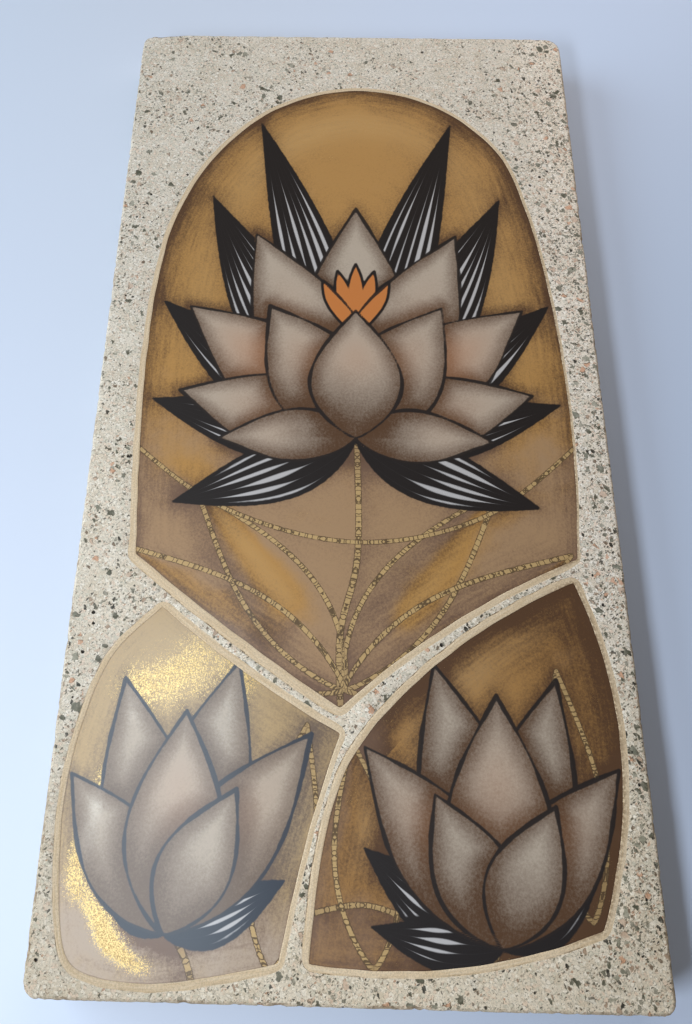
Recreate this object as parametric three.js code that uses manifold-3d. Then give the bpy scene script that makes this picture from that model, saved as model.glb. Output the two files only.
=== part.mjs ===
// Terrazzo wall plaque: a cast slab with three painted tiles let into its ground face.
// Millimetres. X runs to the viewer's right, Z up and Y into the wall. The back lies on Y = 0,
// the ground face on Y = -SLAB.thickness, and the origin is the middle of the back.
import * as THREE from "three";
import { mergeVertices } from "three/addons/utils/BufferGeometryUtils.js";
import Module from "manifold-3d";

const wasm = await Module();
wasm.setup();

// Driving dimensions
const SLAB = { width: 250, height: 498.4, thickness: 20, arris: 1.6 };
const CORNERS = [
  { side: [1, 1], radius: 9.5 },
  { side: [-1, 1], radius: 8 },
  { side: [-1, -1], radius: 7 },
  { side: [1, -1], radius: 6 },
]; // counter-clockwise from the upper right
const TILE = { thickness: 6, recess: 0.7, lap: 2 }; // recess: face of tile below face of slab
const RIM = { lip: 0.2 }; // thickness of the cement where it runs out over a tile
const CLEARANCE = 0.3; // between a tile and the cement round it
const POINT_SPACING = 4.5; // along an outline
const ARRIS_STEPS = 3;
const CORNER_STEPS = 6;

const COLOURS = { terrazzo: 0xd9cfba, paintedTile: 0xb08a4e };

// The picture outlines, seen from the front as (x, z), run counter-clockwise from a corner.
// A side is bowed outwards by `bow`, or passes smoothly through the points of `through`.
// `rim` is the width of its cement slope.
const UPPER_PICTURE = {
  start: [-97.8, -73.6],
  sides: [
    { to: [-3.6, -139.6], bow: 1.7, rim: 4.8 },
    { to: [104.2, -72], bow: -5.3, rim: 3.0 },
    {
      through: [
        [107.4, -24.8],
        [106.9, 22.6],
        [103.4, 69.9],
        [96.3, 116.8],
        [82.2, 162],
        [48.3, 194.6],
        [3.1, 206.1],
        [-41.6, 192.2],
        [-74.6, 158.4],
        [-94.2, 115.4],
        [-101.3, 68.6],
        [-102.5, 21.2],
        [-100.9, -26.3],
      ],
      to: [-97.8, -73.6],
      rim: 2.6,
    },
  ],
};
const LEFT_PICTURE = {
  start: [-83.4, -97.6],
  sides: [
    {
      through: [
        [-103.5, -119.5],
        [-113.5, -149.2],
        [-117.1, -179.8],
        [-114.3, -214.4],
        [-108.8, -234.7],
        [-95.3, -241.2],
      ],
      to: [-75.5, -242.6],
      rim: 2.4,
    },
    { to: [-26.7, -234.7], bow: 0.8, rim: 3.0 },
    { to: [-3.6, -150], bow: -1.9, rim: 2.0 },
    { to: [-83.4, -97.6], bow: -2.3, rim: 3.4 },
  ],
};
const RIGHT_PICTURE = {
  start: [101.2, -82.9],
  sides: [
    {
      through: [
        [79.4, -93.4],
        [49.5, -111.9],
        [19, -137.8],
        [-1.2, -164.7],
        [-10.8, -197.5],
      ],
      to: [-15.1, -234.6],
      rim: 2.9,
    },
    { to: [99.6, -220.9], bow: 6.8, rim: 2.8 },
    { to: [101.2, -82.9], bow: 13.8, rim: 2.8 },
  ],
};

// One side as a curve. A bowed side is a cubic whose middle stands off its chord by the bow.
function sideCurve(from, side) {
  const start = new THREE.Vector2(...from);
  const end = new THREE.Vector2(...side.to);
  if (side.through) {
    const points = side.through.map((p) => new THREE.Vector2(...p));
    return new THREE.SplineCurve([start, ...points, end]);
  }
  const chord = end.clone().sub(start);
  const outward = new THREE.Vector2(chord.y, -chord.x).normalize().multiplyScalar((side.bow * 4) / 3);
  const handle = (share) => start.clone().addScaledVector(chord, share).add(outward);
  return new THREE.CubicBezierCurve(start, handle(1 / 3), handle(2 / 3), end);
}

// Points evenly spaced along each side, with the rim width that each point carries.
function sampleOutline(picture) {
  const points = [];
  const rims = [];
  let from = picture.start;
  picture.sides.forEach((side, i) => {
    const curve = sideCurve(from, side);
    const steps = Math.round(curve.getLength() / POINT_SPACING);
    const before = picture.sides.at(i - 1).rim;
    curve.getSpacedPoints(steps).slice(0, -1).forEach((point, j) => {
      points.push(point);
      rims.push(j === 0 ? (before + side.rim) / 2 : side.rim);
    });
    from = side.to;
  });
  return { points, rims };
}

// An outline moved outwards by a width at each point, along the mitre of the two edges there.
function offsetOutline(points, widthAt) {
  const count = points.length;
  const edgeNormal = (i) => {
    const edge = points[(i + 1) % count].clone().sub(points[i]);
    return new THREE.Vector2(edge.y, -edge.x).normalize();
  };
  return points.map((point, i) => {
    const normal = edgeNormal(i);
    const mitre = edgeNormal((i + count - 1) % count).add(normal).normalize();
    return point.clone().addScaledVector(mitre, widthAt(i) / mitre.dot(normal));
  });
}

// A closed body through a stack of rings of equal point count, each { outline, y }, back to front.
function loft(rings) {
  const count = rings[0].outline.length;
  const positions = rings.flatMap(({ outline, y }) => outline.flatMap((p) => [p.x, y, p.y]));
  const index = [];
  for (let r = 0; r + 1 < rings.length; r++) {
    for (let i = 0; i < count; i++) {
      const a = r * count + i;
      const b = r * count + ((i + 1) % count);
      index.push(a, b, a + count, b, b + count, a + count);
    }
  }
  const first = THREE.ShapeUtils.triangulateShape(rings[0].outline, []);
  const last = THREE.ShapeUtils.triangulateShape(rings.at(-1).outline, []);
  const lastStart = (rings.length - 1) * count;
  first.forEach(([a, b, c]) => index.push(a, c, b));
  last.forEach(([a, b, c]) => index.push(lastStart + a, lastStart + b, lastStart + c));
  const geometry = new THREE.BufferGeometry();
  geometry.setAttribute("position", new THREE.Float32BufferAttribute(positions, 3));
  geometry.setIndex(index);
  return geometry;
}

function toSolid(geometry) {
  const bare = geometry.clone();
  bare.deleteAttribute("normal");
  bare.deleteAttribute("uv");
  const merged = mergeVertices(bare, 1e-4);
  return new wasm.Manifold(
    new wasm.Mesh({
      numProp: 3,
      vertProperties: merged.attributes.position.array,
      triVerts: new Uint32Array(merged.index.array),
    }),
  );
}

function toGeometry(solid) {
  const mesh = solid.getMesh();
  const geometry = new THREE.BufferGeometry();
  geometry.setAttribute("position", new THREE.BufferAttribute(mesh.vertProperties, 3));
  geometry.setIndex(new THREE.BufferAttribute(mesh.triVerts, 1));
  return geometry;
}

// The slab before its pockets: a rectangle with round corners and a softened front arris.
function slabBlank() {
  const halfWidth = SLAB.width / 2;
  const halfHeight = SLAB.height / 2;
  const arcStep = Math.PI / 2 / CORNER_STEPS;
  const ringAt = (inset, y) => {
    const outline = CORNERS.flatMap(({ side: [sx, sz], radius }, quarter) =>
      Array.from({ length: CORNER_STEPS + 1 }, (_, k) => {
        const angle = (quarter * Math.PI) / 2 + k * arcStep;
        const centre = new THREE.Vector2(sx * (halfWidth - radius), sz * (halfHeight - radius));
        const arm = new THREE.Vector2(Math.cos(angle), Math.sin(angle));
        return centre.addScaledVector(arm, radius - inset);
      }),
    );
    return { outline, y };
  };
  const rings = [ringAt(0, 0)];
  for (let k = 0; k <= ARRIS_STEPS; k++) {
    const turn = (k / ARRIS_STEPS) * (Math.PI / 2);
    const inset = SLAB.arris * (1 - Math.cos(turn));
    rings.push(ringAt(inset, -SLAB.thickness + SLAB.arris * (1 - Math.sin(turn))));
  }
  return toSolid(loft(rings));
}

const faceY = -SLAB.thickness;
const tileFaceY = faceY + TILE.recess;
const tileBackY = tileFaceY + TILE.thickness;
const lipUnderY = tileFaceY - CLEARANCE;

// What one tile takes out of the slab: its bed under the rim, and the opening that the rim slopes into.
function pocket({ points, rims }) {
  const bedOutline = offsetOutline(points, () => TILE.lap + CLEARANCE);
  const bed = loft([
    { outline: bedOutline, y: tileBackY + CLEARANCE },
    { outline: bedOutline, y: lipUnderY },
  ]);
  const rimSlope = TILE.recess - CLEARANCE - RIM.lip;
  const overshoot = 1; // past the face, continuing the slope
  const opening = loft([
    { outline: points, y: lipUnderY + overshoot },
    { outline: points, y: lipUnderY - RIM.lip },
    {
      outline: offsetOutline(points, (i) => rims[i] * (1 + overshoot / rimSlope)),
      y: faceY - overshoot,
    },
  ]);
  return toSolid(bed).add(toSolid(opening));
}

function tile({ points }) {
  const outline = offsetOutline(points, () => TILE.lap);
  return loft([
    { outline, y: tileBackY },
    { outline, y: tileFaceY },
  ]);
}

const terrazzo = new THREE.MeshStandardMaterial({ color: COLOURS.terrazzo, roughness: 0.6, metalness: 0 });
const paintedTile = new THREE.MeshStandardMaterial({
  color: COLOURS.paintedTile,
  roughness: 0.3,
  metalness: 0.1,
});

const pictures = {
  upper_tile: sampleOutline(UPPER_PICTURE),
  lower_left_tile: sampleOutline(LEFT_PICTURE),
  lower_right_tile: sampleOutline(RIGHT_PICTURE),
};

const plaque = new THREE.Group();
let slab = slabBlank();
for (const [name, picture] of Object.entries(pictures)) {
  slab = slab.subtract(pocket(picture));
  const mesh = new THREE.Mesh(tile(picture), paintedTile);
  mesh.name = name;
  plaque.add(mesh);
}
const slabMesh = new THREE.Mesh(toGeometry(slab), terrazzo);
slabMesh.name = "terrazzo_slab";
plaque.add(slabMesh);

export default plaque;
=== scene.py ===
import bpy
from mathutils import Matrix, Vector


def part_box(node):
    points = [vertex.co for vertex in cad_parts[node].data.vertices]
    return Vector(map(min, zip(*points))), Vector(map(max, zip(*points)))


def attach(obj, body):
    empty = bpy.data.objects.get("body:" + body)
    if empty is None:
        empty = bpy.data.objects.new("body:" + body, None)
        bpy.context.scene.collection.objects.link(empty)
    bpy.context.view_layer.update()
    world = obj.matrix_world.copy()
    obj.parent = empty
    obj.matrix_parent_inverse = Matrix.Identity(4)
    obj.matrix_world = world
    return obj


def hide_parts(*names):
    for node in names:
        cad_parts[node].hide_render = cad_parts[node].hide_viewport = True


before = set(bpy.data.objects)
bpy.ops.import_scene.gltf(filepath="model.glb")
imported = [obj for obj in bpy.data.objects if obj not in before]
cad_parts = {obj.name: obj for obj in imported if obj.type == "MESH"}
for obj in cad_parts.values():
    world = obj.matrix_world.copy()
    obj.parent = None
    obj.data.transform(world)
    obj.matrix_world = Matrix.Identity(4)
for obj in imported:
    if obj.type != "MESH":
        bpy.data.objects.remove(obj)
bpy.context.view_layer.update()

import math

import bpy
import numpy as np
from mathutils import Matrix, Vector
from mathutils.geometry import delaunay_2d_cdt

bl_info = {
    "name": "Terrazzo wall plaque",
    "version": (1, 0, 0),
    "blender": (4, 5, 0),
    "location": "3D View > Sidebar > Plaque",
    "description": "Makes a terrazzo slab with three painted tiles in cement rims, hung on a pale wall",
    "category": "Object",
}

# Sizes in mm. The front of the plaque lies at the lowest y.
MM = 0.001
SLAB_LOW, SLAB_HIGH = (np.array(corner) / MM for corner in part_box("terrazzo_slab"))
TILE_LOW, TILE_HIGH = (np.array(corner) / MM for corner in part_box("upper_tile"))
HALF_WIDTH, HALF_HEIGHT = SLAB_HIGH[0], SLAB_HIGH[2]
FRONT, TILE_BACK = SLAB_LOW[1], TILE_HIGH[1]
TILE_FACE = TILE_LOW[1] - 0.5  # the glazed face fills the gap under the cement
EDGE_STEP = 1.25  # between points along the slab's edge and the rims
LINE_STEP = 1.5  # between points along a painted line
HOLE_SIDES = 8
FAR = 30.0  # distance field where nothing is painted
CREASE = math.radians(38)  # edges that turn more than this stay sharp

# Picture outlines as (x, z), counter-clockwise seen from the front. A side bows outwards by "bow" or
# passes through points. "rim" is the width of its cement band at both ends, and "crevice" how far
# the band has parted from the terrazzo there.
PICTURES = {
    "upper_tile": {
        "start": (-97.8, -73.6),
        "sides": [
            {"to": (-3.6, -139.6), "bow": 1.7, "rim": (4.3, 4.3), "crevice": 0.6},
            {"to": (104.2, -72.0), "bow": -5.3, "rim": (3.0, 3.0), "crevice": 0.2},
            {
                "through": [
                    (107.4, -24.8), (106.9, 22.6), (103.4, 69.9), (96.3, 116.8), (82.2, 162.0),
                    (48.3, 194.6), (3.1, 206.1), (-41.6, 192.2), (-74.6, 158.4), (-94.2, 115.4),
                    (-101.3, 68.6), (-102.5, 21.2), (-100.9, -26.3),
                ],
                "to": (-97.8, -73.6), "rim": (0.9, 3.2), "crevice": 0.1,
            },
        ],
    },
    "lower_left_tile": {
        "start": (-83.4, -97.6),
        "sides": [
            {
                "through": [
                    (-103.5, -119.5), (-113.5, -149.2), (-117.1, -179.8), (-114.3, -214.4),
                    (-108.8, -234.7), (-95.3, -241.2),
                ],
                "to": (-75.5, -242.6), "rim": (2.6, 2.6), "crevice": 0.35,
            },
            {"to": (-26.7, -234.7), "bow": 0.8, "rim": (3.0, 3.0), "crevice": 0.35},
            {"to": (-3.6, -150.0), "bow": -1.9, "rim": (2.2, 2.2), "crevice": 0.2},
            {"to": (-83.4, -97.6), "bow": -2.3, "rim": (3.2, 3.2), "crevice": 0.3},
        ],
    },
    "lower_right_tile": {
        "start": (101.2, -82.9),
        "sides": [
            {
                "through": [
                    (79.4, -93.4), (49.5, -111.9), (19.0, -137.8), (-1.2, -164.7), (-10.8, -197.5),
                ],
                "to": (-15.1, -234.6), "rim": (3.6, 3.0), "crevice": 0.6,
            },
            {"to": (99.6, -220.9), "bow": 6.8, "rim": (2.4, 2.6), "crevice": 0.55},
            {"to": (101.2, -82.9), "bow": 13.8, "rim": (2.6, 2.6), "crevice": 0.2},
        ],
    },
}

# The camera: its place in metres, its axes to the right, up and back, and the column of the picture,
# in pixels, that its lens points at
CAMERA_PLACE = (-0.01611, -0.3191, -0.1468)
CAMERA_AXES = ((0.9997, 0.0047, 0.0220), (-0.0195, -0.3024, 0.9530), (0.0112, -0.9532, -0.3022))
PICTURE_WIDTH, PICTURE_HEIGHT = 692, 1024
LENS_COLUMN = 307.3

# The softbox, set where the glaze mirrors it on the lower left tile: its place and aim in metres
SOFTBOX_PLACE = ((-0.36, -1.22, -0.27), (-0.06, 0.0, -0.18))

# Settings


def length_setting(name, description, default):
    """A length in metres."""
    return bpy.props.FloatProperty(name=name, description=description, default=default, unit="LENGTH")


def power_setting(name, description, default):
    """The power of a light in watts."""
    return bpy.props.FloatProperty(name=name, description=description, default=default, unit="POWER")


def colour_setting(name, description, default):
    """A colour as linear red, green and blue."""
    return bpy.props.FloatVectorProperty(
        name=name, description=description, default=default, subtype="COLOR")


class SlabSettings(bpy.types.PropertyGroup):
    """Sizes and colours of the terrazzo slab."""

    corner_radii: bpy.props.FloatVectorProperty(
        name="Corner radii", description="Radii of the corners, counter-clockwise from the upper right",
        size=4, default=(0.0095, 0.008, 0.007, 0.006), unit="LENGTH")
    arris: length_setting("Arris", "Radius of the softened front edge", 0.0016)
    wear: length_setting("Edge wear", "Depth of the nibbles along the front edge", 0.0005)
    pits: bpy.props.IntProperty(
        name="Air holes", description="How many air holes the ground face shows", default=120)
    matrix_colour: colour_setting(
        "Matrix", "Colour of the ground cement between the chips", (0.755, 0.69, 0.585))
    cement_colour: colour_setting("Bare cement", "Colour of the rims and the back", (0.715, 0.585, 0.42))


class TileSettings(bpy.types.PropertyGroup):
    """Sizes and paint colours of the three tiles."""

    lap: length_setting("Lap", "How far the cement laps over the edge of a tile", 0.002)
    upper_spacing: length_setting("Upper mesh", "Spacing of the upper tile's mesh", 0.0009)
    lower_spacing: length_setting("Lower mesh", "Spacing of the lower tiles' meshes", 0.0005)
    ochre: colour_setting("Ochre", "Ground colour of the pictures", (0.50, 0.27, 0.080))
    dun: colour_setting("Dun", "Duller ground colour towards the foot", (0.42, 0.265, 0.145))
    umber: colour_setting("Umber", "Airbrushed shade", (0.10, 0.047, 0.021))
    mauve: colour_setting("Mauve", "Airbrushed shade towards the foot", (0.18, 0.105, 0.07))
    pale: colour_setting("Pale", "Lightest tone of the petals", (0.52, 0.44, 0.36))
    ink: colour_setting("Ink", "Outlines and dark leaves", (0.014, 0.010, 0.010))
    gold: colour_setting("Gold", "Crackled lines", (0.57, 0.39, 0.175))
    accent: colour_setting("Accent", "Stamens", (0.62, 0.21, 0.045))


class StageSettings(bpy.types.PropertyGroup):
    """The wall, the lights and the camera."""

    wall_colour: colour_setting("Wall", "Colour of the wall and floor", (0.67, 0.78, 0.96))
    key_power: power_setting("Key light", "The small light that draws the edge of the shadow", 2.3)
    window_power: power_setting("Window light", "The wide light from the left", 12.0)
    front_power: power_setting("Front light", "The softbox that shows in the glaze", 3.2)
    fill_power: power_setting("Fill light", "The warm light from above", 1.03)
    back_power: power_setting("Back light", "The light on the hidden back", 8.0)
    room_colour: colour_setting("Room", "Colour of the light from all sides", (1.0, 0.9, 0.77))
    room_strength: bpy.props.FloatProperty(
        name="Room strength", description="Strength of the light from all sides", default=0.104)
    lens: bpy.props.FloatProperty(name="Lens", description="Focal length in millimetres", default=23.618)


# Curves and rings


def step(value, low, high):
    """A smooth step from 0 at low to 1 at high."""
    t = np.clip((value - low) / (high - low), 0.0, 1.0)
    return t * t * (3 - 2 * t)


def bell(value, width):
    """A bell curve: one at zero, falling off over the width."""
    return np.exp(-((value / width) ** 2))


def fade(distance, reach):
    """One within a shape and falling off outside it over the reach."""
    return np.exp(-np.maximum(distance, 0) / reach)


def side_points(start, side, count=400):
    """One side: a spline through its points, or a cubic whose middle stands off the chord by the bow."""
    start = np.array(start)
    end = np.array(side["to"])
    t = np.linspace(0.0, 1.0, count + 1)
    if "through" in side:
        knots = np.array([start, *side["through"], end])
        last = len(knots) - 1
        i = np.minimum((t * last).astype(int), last - 1)
        w = (t * last - i)[:, None]
        p0, p1 = knots[np.maximum(i - 1, 0)], knots[i]
        p2, p3 = knots[i + 1], knots[np.minimum(i + 2, last)]
        v1, v2 = (p2 - p0) / 2, (p3 - p1) / 2
        return p1 + v1 * w + (3 * (p2 - p1) - 2 * v1 - v2) * w**2 + (2 * (p1 - p2) + v1 + v2) * w**3
    chord = end - start
    outward = np.array([chord[1], -chord[0]]) / np.hypot(*chord) * side["bow"] * 4 / 3
    t = t[:, None]
    near, far = start + chord / 3 + outward, start + chord * 2 / 3 + outward
    return (1 - t) ** 3 * start + 3 * (1 - t) ** 2 * t * near + 3 * (1 - t) * t**2 * far + t**3 * end


def evenly(points, spacing):
    """The same line with points at even steps of about the spacing, without its last point."""
    run = np.concatenate([[0.0], np.cumsum(np.hypot(*np.diff(points, axis=0).T))])
    at = np.linspace(0.0, run[-1], max(int(round(run[-1] / spacing)), 2) + 1)[:-1]
    return np.stack([np.interp(at, run, points[:, k]) for k in range(2)], axis=1)


def picture_loop(name, spacing):
    """A picture's closed outline, and its rim width and crevice at each point, eased at the corners."""
    picture = PICTURES[name]
    start, loops, rims, crevices = picture["start"], [], [], []
    for side in picture["sides"]:
        points = evenly(side_points(start, side), spacing)
        loops.append(points)
        rims.append(np.linspace(*side["rim"], len(points)))
        crevices.append(np.full(len(points), side["crevice"]))
        start = side["to"]
    ease = 4.0 / spacing
    widths = (smooth_loop(np.concatenate(rows), ease) for rows in (rims, crevices))
    return np.concatenate(loops), *widths


def smooth_loop(values, sigma):
    """A closed row of values, blurred round the loop by a bell of sigma steps."""
    spectrum = np.fft.rfft(values, axis=0)
    damping = np.exp(-2 * (np.pi * np.fft.rfftfreq(len(values)) * sigma) ** 2)
    spectrum *= damping.reshape((-1,) + (1,) * (values.ndim - 1))
    return np.fft.irfft(spectrum, len(values), axis=0)


def offset_loop(points, width):
    """A closed loop moved outwards by a width at each point, along the mitre of its two edges."""
    edge = np.roll(points, -1, axis=0) - points
    normal = np.stack([edge[:, 1], -edge[:, 0]], axis=1)
    normal /= np.linalg.norm(normal, axis=1, keepdims=True)
    mitre = normal + np.roll(normal, 1, axis=0)
    mitre /= np.linalg.norm(mitre, axis=1, keepdims=True)
    reach = np.asarray(width) / np.maximum((mitre * normal).sum(axis=1), 0.5)
    return points + mitre * reach[:, None]


def ripple(count, low, high, seed):
    """A closed wavy row of height about one: sines of low to high whole turns, at seeded phases."""
    rng = np.random.default_rng(seed)
    turns = np.arange(low, high + 1)
    angle = np.arange(count)[:, None] / count * 2 * np.pi * turns
    row = np.sin(angle + rng.uniform(0, 2 * np.pi, turns.size)) @ rng.normal(size=turns.size)
    return row / row.std()


def nibbles(count, spacing, every, seed):
    """Hollows along a closed edge: bells of seeded place, width and depth, the deepest about one."""
    rng = np.random.default_rng(seed)
    number = int(count * spacing / every)
    place, width = rng.uniform(0, count, number), rng.uniform(0.8, 2.6, number) / spacing
    gap = np.abs(np.arange(count)[:, None] - place)
    gap = np.minimum(gap, count - gap)
    return (bell(gap, width) * rng.uniform(0.15, 1.0, number) ** 2).max(axis=1)


def inside_loop(points, loop):
    """Which points lie in a closed loop, by counting crossings of a ray."""
    x, z = points[:, :1], points[:, 1:]
    a, b = loop, np.roll(loop, -1, axis=0)
    spans = (a[:, 1] > z) != (b[:, 1] > z)
    rise = np.where(b[:, 1] == a[:, 1], 1e-9, b[:, 1] - a[:, 1])
    crossing = (b[:, 0] - a[:, 0]) * (z - a[:, 1]) / rise + a[:, 0]
    return (spans & (x < crossing)).sum(axis=1) % 2 == 1


def nearest_index(points, others):
    """Which of the others is nearest to each point, worked out in blocks."""
    blocks = np.array_split(points, max(len(points) * len(others) // 4_000_000, 1))
    return np.concatenate(
        [((block[:, None] - others[None]) ** 2).sum(axis=2).argmin(axis=1) for block in blocks])


def nearest(points, others):
    """Distance of each point to the nearest of the others."""
    return np.linalg.norm(points - others[nearest_index(points, others)], axis=1)


def depth_inside(points, loop):
    """How far each point lies inside a closed loop, taken to the two edges at its nearest corner."""
    near = nearest_index(points, loop)
    reach = []
    for other in (near - 1, (near + 1) % len(loop)):
        edge = loop[other] - loop[near]
        away = points - loop[near]
        share = np.clip((away * edge).sum(axis=1) / (edge**2).sum(axis=1), 0.0, 1.0)
        reach.append(np.linalg.norm(away - share[:, None] * edge, axis=1))
    return np.minimum(*reach) * np.where(inside_loop(points, loop), 1.0, -1.0)


def mesh_object(name, points, faces, fields, material):
    """A smooth mesh from points in mm, with finish fields by name, of one or three values to a point."""
    mesh = bpy.data.meshes.new(name)
    mesh.from_pydata((points * MM).tolist(), [], faces)
    if mesh.validate(verbose=False):
        raise RuntimeError(f"{name}: the mesh had faulty faces")
    for field, values in fields.items():
        kind, key = ("FLOAT", "value") if values.ndim == 1 else ("FLOAT_VECTOR", "vector")
        attribute = mesh.attributes.new(field, kind, "POINT")
        attribute.data.foreach_set(key, values.astype(np.float32).ravel())
    mesh.shade_smooth()
    mesh.set_sharp_from_angle(angle=CREASE)
    mesh.materials.append(material)
    piece = bpy.data.objects.new(name, mesh)
    bpy.context.scene.collection.objects.link(piece)
    return piece


class Shell:
    """Gathers the points, faces and finish masks of one closed mesh, in mm."""

    def __init__(self, masks):
        self.names = masks
        self.points, self.masks, self.faces, self.count = [], [], [], 0

    def add(self, points, **masks):
        """Adds points with their masks and returns their numbers."""
        self.points.append(points)
        rows = [np.broadcast_to(masks.get(name, 0.0), len(points)) for name in self.names]
        self.masks.append(np.stack(rows, axis=1))
        self.count += len(points)
        return np.arange(self.count - len(points), self.count)

    def join(self, first, second):
        """Quads between two closed rings of equal count."""
        quads = np.stack([first, np.roll(first, -1), np.roll(second, -1), second], axis=1)
        self.faces.extend(quads.tolist())

    def object(self, name, material):
        """The mesh object, with one field for each mask."""
        masks = dict(zip(self.names, np.concatenate(self.masks).T))
        return mesh_object(name, np.concatenate(self.points), self.faces, masks, material)


# The slab


def rounded_ring(radii, inset, spacing):
    """The slab's outline with round corners, counter-clockwise, drawn in by an inset at constant count."""
    turn = np.linspace(0.0, np.pi / 2, 13)
    arcs, ring = [], []
    for k, (sx, sz) in enumerate(((1, 1), (-1, 1), (-1, -1), (1, -1))):
        keep = max(radii[k] - inset, 0.6)
        arc = keep * np.stack([np.cos(turn + k * np.pi / 2), np.sin(turn + k * np.pi / 2)], axis=1)
        arcs.append(arc + (sx * (HALF_WIDTH - inset - keep), sz * (HALF_HEIGHT - inset - keep)))
    for k, arc in enumerate(arcs):
        length = 2 * (HALF_WIDTH if k % 2 == 0 else HALF_HEIGHT)
        t = np.linspace(0.0, 1.0, int(length / spacing) + 1)[1:-1, None]
        ring += [arc, arc[-1] * (1 - t) + arcs[(k + 1) % 4][0] * t]
    return np.concatenate(ring)


def flat(points, y):
    """Points of a front view, set at a depth."""
    return np.stack([points[:, 0], np.broadcast_to(y, len(points)), points[:, 1]], axis=1)


def edge_profile(arris):
    """Rows from the eased back edge up the side and a quarter turn round the arris to the face.

    A row holds its inset, its depth, how worn it is and how bare of chips.
    """
    rows = [(0.8, 0.0, 0.0, 1.0), (0.2, -0.2, 0.3, 1.0), (0.0, -0.8, 0.3, 0.8)]
    rows += [(0.0, y, 0.2, 0.4) for y in np.linspace(-4.0, FRONT + arris + 2.0, 5)]
    for turn in np.linspace(0.0, np.pi / 2, 6):
        inset, y = arris * (1 - math.cos(turn)), FRONT + arris * (1 - math.sin(turn))
        rows.append((inset, y, 1.0 - 0.9 * math.sin(turn) ** 4, 0.2 + 0.1 * math.sin(2 * turn)))
    return rows + [(arris + 0.15, FRONT, 0.0, 0.1)]


def edge_dirt(outline):
    """How soiled the edge is: most along the left and right sides and the foot, in seeded patches."""
    right_and_top, left_and_foot = (1.0, 0.5), (1.1, 1.0)
    away = np.abs(outline) - (HALF_WIDTH, HALF_HEIGHT)
    soiled = np.where(outline > 0, right_and_top, left_and_foot) * step(away, -4.0, 0.0)
    patches = np.clip(0.8 + 0.3 * ripple(len(outline), 10, 90, 6), 0.3, 1.3)
    return soiled.max(axis=1) * patches


def slab_edge(shell, settings):
    """The slab's edge: its profile carried round the outline, drawn in by nibbles, sway and droop.

    The nibbles and the sway are seeded. The droop is a bell at the upper left corner.
    """
    nibble_every, droop_from_left, droop_width, droop_depth = 5.0, 10.0, 8.0, 1.6
    radii = np.array(settings.corner_radii) / MM
    outline = rounded_ring(radii, 0.0, EDGE_STEP)
    count = len(outline)
    bite = settings.wear / MM * nibbles(count, EDGE_STEP, nibble_every, 3)
    bite = bite + 0.08 * np.abs(ripple(count, 60, 420, 4))
    droop_middle = (droop_from_left - HALF_WIDTH, HALF_HEIGHT)
    droop = bell(np.linalg.norm(outline - droop_middle, axis=1), droop_width)
    sway = 0.06 * ripple(count, 2, 30, 5)
    soiled = edge_dirt(outline)
    rings = []
    for k, (inset, y, worn, bare) in enumerate(edge_profile(settings.arris / MM)):
        forward = y < FRONT / 2
        rough = np.abs(bite * worn * (1 + 0.25 * ripple(count, 80, 500, 20 + k)))
        ring = rounded_ring(radii, inset, EDGE_STEP)
        ring = offset_loop(ring, -(rough + 0.1 + sway * min(worn, 0.6) + droop_depth * droop))
        depth = np.minimum(y + 0.8 * rough * (inset > 0.1) * forward, 0.0)
        stain = (worn > 0.05) * (0.25 * bite + 0.36 * soiled + 0.7 * droop)
        rings.append(shell.add(flat(ring, depth), bare=bare + 0.14 * soiled * forward, stain=stain))
        if k:
            shell.join(rings[-2], rings[-1])
    shell.faces.append(rings[0][::-1].tolist())
    return rings[-1]


def rim_profile(rim, crevice, right_rim_darkening, lap):
    """Rows from the crevice over the rim, which turns down at the picture, and under its lip to the bed.

    A row holds its offset from the picture, its depth, how bare of chips it is and how dark it is:
    the stain of the crevice, and a darkening towards the picture on the rims at the right.
    """
    top, lip, under, bed = FRONT + 0.03, TILE_FACE - 0.05, TILE_FACE - 0.02, lap + 0.3
    rows = [(rim + 0.12, FRONT, 0.12, 0.1 * crevice), (rim - 0.08, FRONT + 0.4 * crevice, 0.8, crevice)]
    for share in (0.86, 0.65, 0.45, 0.3, 0.2, 0.12, 0.05, 0.0):
        drop = 0.1 * (1 - share) + 0.9 * (1 - share) ** 14
        stain = right_rim_darkening * (1 - share) ** 0.7 + 0.3 * crevice * (share > 0.8)
        rows.append((rim * share, top + (lip - top) * drop, 1.0, stain))
    return rows + [(0.0, under, 1.0, 0.0), (bed, under, 1.0, 0.0), (bed, TILE_BACK + 0.3, 1.0, 0.0)]


def slab_rim(shell, name, lap, seed):
    """A picture's rim: its profile carried round the outline, whose line, width and crevice waver.

    Wide rings are eased round the corners, and the outer ones stay clear of the slab's edge.
    """
    points, rim, crevice = picture_loop(name, EDGE_STEP)
    count = len(points)
    points = smooth_loop(points, 0.7 / EDGE_STEP)
    points = offset_loop(points, 0.07 * ripple(count, 3, count // 12, seed))
    rim = rim * (1 + 0.03 * ripple(count, 3, 40, seed + 1))
    crevice = crevice * np.clip(0.75 + 0.5 * ripple(count, 8, count // 5, seed + 2), 0.0, 1.3)
    # The rims at the right are darker, most next to the picture
    right_rim_darkening = 0.6 * step(points[:, 0], 60, 106)
    rings = []
    for k, (offset, y, bare, stain) in enumerate(rim_profile(rim, crevice, right_rim_darkening, lap)):
        ring = offset_loop(points, offset + np.zeros(count))
        wide = float(np.mean(offset))
        ring = smooth_loop(ring, 0.35 * wide / EDGE_STEP) if wide > 0.3 else ring
        reach = SLAB_HIGH[[0, 2]] - 2.25 - 0.12 * k
        ring = np.clip(ring, -reach, reach) if k < 4 else ring
        rings.append(shell.add(flat(ring, y), bare=bare, stain=stain, from_tile=offset))
        if k:
            shell.join(rings[-2], rings[-1])
    shell.faces.append(rings[-1].tolist())
    return rings[0]


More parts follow.
